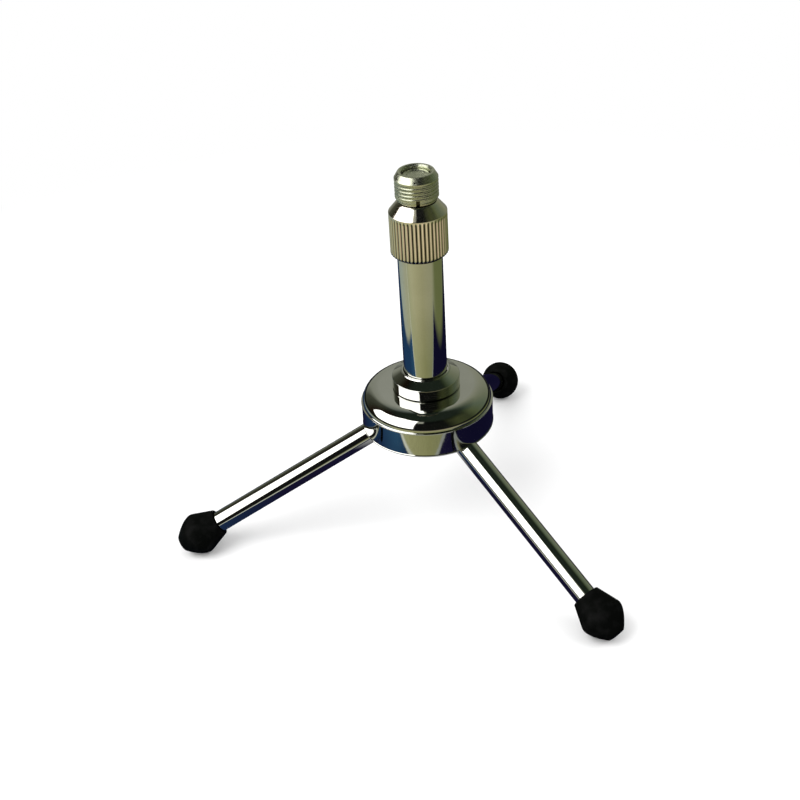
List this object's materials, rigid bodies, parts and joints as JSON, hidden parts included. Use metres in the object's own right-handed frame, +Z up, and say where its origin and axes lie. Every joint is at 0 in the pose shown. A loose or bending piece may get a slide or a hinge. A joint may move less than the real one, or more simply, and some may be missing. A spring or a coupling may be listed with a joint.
{
  "type": "desktop microphone stand",
  "caption": "Chromed desk tripod with folding legs on rubber feet, a round hub and a telescopic post that ends in a slotted microphone thread adapter.",
  "frame": {"origin": "centre of the top face of the microphone stud, on the post axis", "axes": "+Z up along the post; the rear leg points along +Y, the left and right legs 120 degrees to either side"},
  "size_m": [0.174, 0.1528, 0.1471],
  "materials": {
    "chrome_plate": "polished chrome plate, slightly warm",
    "nickel_thread": "dull nickel plate, machined",
    "cast_zinc": "as cast, matt",
    "zinc_plated_steel": "bright zinc plate",
    "nylon": "natural nylon",
    "black_rubber": "matt black moulded rubber"
  },
  "bodies": {
    "base": {"hub_bell": "chrome_plate", "leg_carrier": "cast_zinc", "centre_bolt": "zinc_plated_steel", "lock_washer": "zinc_plated_steel", "post_collar": "chrome_plate", "post_tube": "chrome_plate", "post_plug": "zinc_plated_steel", "clutch_collet": "nylon", "pivot_pin_rear": "zinc_plated_steel", "pivot_pin_left": "zinc_plated_steel", "pivot_pin_right": "zinc_plated_steel"},
    "clutch_nut": {"clutch_nut": "chrome_plate"},
    "column_slider": {"inner_bush": "nylon"},
    "mic_column": {"inner_tube": "chrome_plate", "top_stud": "nickel_thread", "thread_adapter": "nickel_thread"},
    "leg_rear": {"leg_rod_rear": "chrome_plate", "foot_cap_rear": "black_rubber"},
    "leg_left": {"leg_rod_left": "chrome_plate", "foot_cap_left": "black_rubber"},
    "leg_right": {"leg_rod_right": "chrome_plate", "foot_cap_right": "black_rubber"}
  },
  "joints": [
    {"name": "leg_rear_fold", "type": "hinge", "parent": "base", "child": "leg_rear", "pos_m": [0, 0.013, -0.0971], "axis": [-1, 0, 0], "range_deg": [0, 61]},
    {"name": "leg_left_fold", "type": "hinge", "parent": "base", "child": "leg_left", "pos_m": [-0.01126, -0.0065, -0.0971], "axis": [0.5, -0.866, 0], "range_deg": [0, 61]},
    {"name": "leg_right_fold", "type": "hinge", "parent": "base", "child": "leg_right", "pos_m": [0.01126, -0.0065, -0.0971], "axis": [0.5, 0.866, 0], "range_deg": [0, 61]},
    {"name": "clutch_nut_turn", "type": "hinge", "parent": "base", "child": "clutch_nut", "pos_m": [0, 0, -0.0214], "axis": [0, 0, 1], "range_deg": [0, 180]},
    {"name": "column_slide", "type": "slide", "parent": "base", "child": "column_slider", "axis": [0, 0, 1], "range_m": [0, 0.04]},
    {"name": "column_turn", "type": "hinge", "parent": "column_slider", "child": "mic_column", "pos_m": [0, 0, -0.0579], "axis": [0, 0, 1], "continuous": true}
  ]
}
